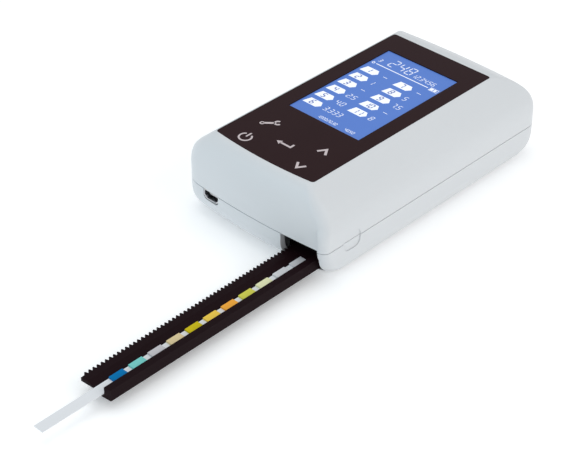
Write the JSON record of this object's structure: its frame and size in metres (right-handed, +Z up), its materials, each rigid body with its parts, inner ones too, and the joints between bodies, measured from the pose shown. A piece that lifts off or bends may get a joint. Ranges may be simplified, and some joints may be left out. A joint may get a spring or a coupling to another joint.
{
  "type": "urine analyzer",
  "caption": "Hand-sized strip reader with a display, keys under a dark film, and a motor-driven rack tray that carries a test strip out of the front.",
  "frame": {"origin": "under the middle of the whole object as it stands, tray run out and strip in it, on the surface it stands on", "axes": "+Z up, +Y from the front face to the back, so the tray and strip come out towards -Y, +X to the tray's side"},
  "size_m": [0.0646, 0.2178, 0.0321],
  "materials": {
    "casing": "pale satin plastic",
    "film": "dark printed film",
    "display": "clear display glass",
    "backlight": "blue backlight",
    "board": "circuit board",
    "black_plastic": "black moulded plastic",
    "white_plastic": "white acetal",
    "steel": "bright steel",
    "brass": "turned brass",
    "rubber": "soft rubber",
    "battery": "shrink-wrapped cells",
    "lens": "clear glass",
    "lamp": "clear lamp",
    "strip": "white plastic strip",
    "pad_01": "dry reagent pad",
    "pad_02": "dry reagent pad",
    "pad_03": "dry reagent pad",
    "pad_04": "dry reagent pad",
    "pad_05": "dry reagent pad",
    "pad_06": "dry reagent pad",
    "pad_07": "dry reagent pad",
    "pad_08": "dry reagent pad",
    "pad_09": "dry reagent pad",
    "pad_10": "dry reagent pad",
    "pad_11": "dry reagent pad"
  },
  "bodies": {
    "case": {"top_shell": "casing", "bottom_shell": "casing", "foot_front_left": "rubber", "foot_front_right": "rubber", "foot_back_left": "rubber", "foot_back_right": "rubber", "front_film": "film", "display_glass": "display", "display_backlight": "backlight", "main_board": "board", "key_switches": "steel", "board_chips": "black_plastic", "board_screws": "steel", "buzzer": "black_plastic", "usb_socket": "steel", "power_board": "board", "power_board_screws": "steel", "battery_pack": "battery", "drive_plate": "steel", "drive_screws": "steel", "motor_body": "steel", "motor_screws": "steel", "gear_axle": "steel", "tray_guide": "black_plastic", "optical_block": "black_plastic", "lens": "lens", "lamp": "lamp", "light_sensor": "black_plastic", "optical_board": "board", "home_sensor": "black_plastic", "case_screws": "steel"},
    "tray": {"strip_tray": "black_plastic"},
    "strip": {"test_strip": "strip", "pad_01": "pad_01", "pad_02": "pad_02", "pad_03": "pad_03", "pad_04": "pad_04", "pad_05": "pad_05", "pad_06": "pad_06", "pad_07": "pad_07", "pad_08": "pad_08", "pad_09": "pad_09", "pad_10": "pad_10", "pad_11": "pad_11"},
    "gear": {"compound_gear": "white_plastic"},
    "rotor": {"motor_shaft": "steel", "motor_pinion": "brass"},
    "key_setup": {"key_setup": "black_plastic"},
    "key_power": {"key_power": "black_plastic"},
    "key_enter": {"key_enter": "black_plastic"},
    "key_up": {"key_up": "black_plastic"},
    "key_down": {"key_down": "black_plastic"}
  },
  "joints": [
    {"name": "tray_slide", "type": "slide", "parent": "case", "child": "tray", "axis": [0, 1, 0], "range_m": [0, 0.084]},
    {"name": "strip_slide", "type": "slide", "parent": "tray", "child": "strip", "axis": [0, -1, 0], "range_m": [0, 0.04]},
    {"name": "gear_spin", "type": "hinge", "parent": "case", "child": "gear", "pos_m": [0.0106, 0.01093, 0.0055], "axis": [0, 0, 1], "range_deg": [0, 1260]},
    {"name": "motor_spin", "type": "hinge", "parent": "case", "child": "rotor", "pos_m": [0.0011, 0.01093, 0.0125], "axis": [0, 0, 1], "range_deg": [-3530, 0]},
    {"name": "key_setup_press", "type": "slide", "parent": "case", "child": "key_setup", "axis": [0, 0, -1], "range_m": [0, 0.00025], "stiffness_N_per_m": 600},
    {"name": "key_power_press", "type": "slide", "parent": "case", "child": "key_power", "axis": [0, 0, -1], "range_m": [0, 0.00025], "stiffness_N_per_m": 600},
    {"name": "key_enter_press", "type": "slide", "parent": "case", "child": "key_enter", "axis": [0, 0, -1], "range_m": [0, 0.00025], "stiffness_N_per_m": 600},
    {"name": "key_up_press", "type": "slide", "parent": "case", "child": "key_up", "axis": [0, 0, -1], "range_m": [0, 0.00025], "stiffness_N_per_m": 600},
    {"name": "key_down_press", "type": "slide", "parent": "case", "child": "key_down", "axis": [0, 0, -1], "range_m": [0, 0.00025], "stiffness_N_per_m": 600}
  ],
  "couplings": [
    {"joint": "gear_spin", "follows": "tray_slide", "rad_per_m": 250},
    {"joint": "motor_spin", "follows": "tray_slide", "rad_per_m": -700}
  ]
}
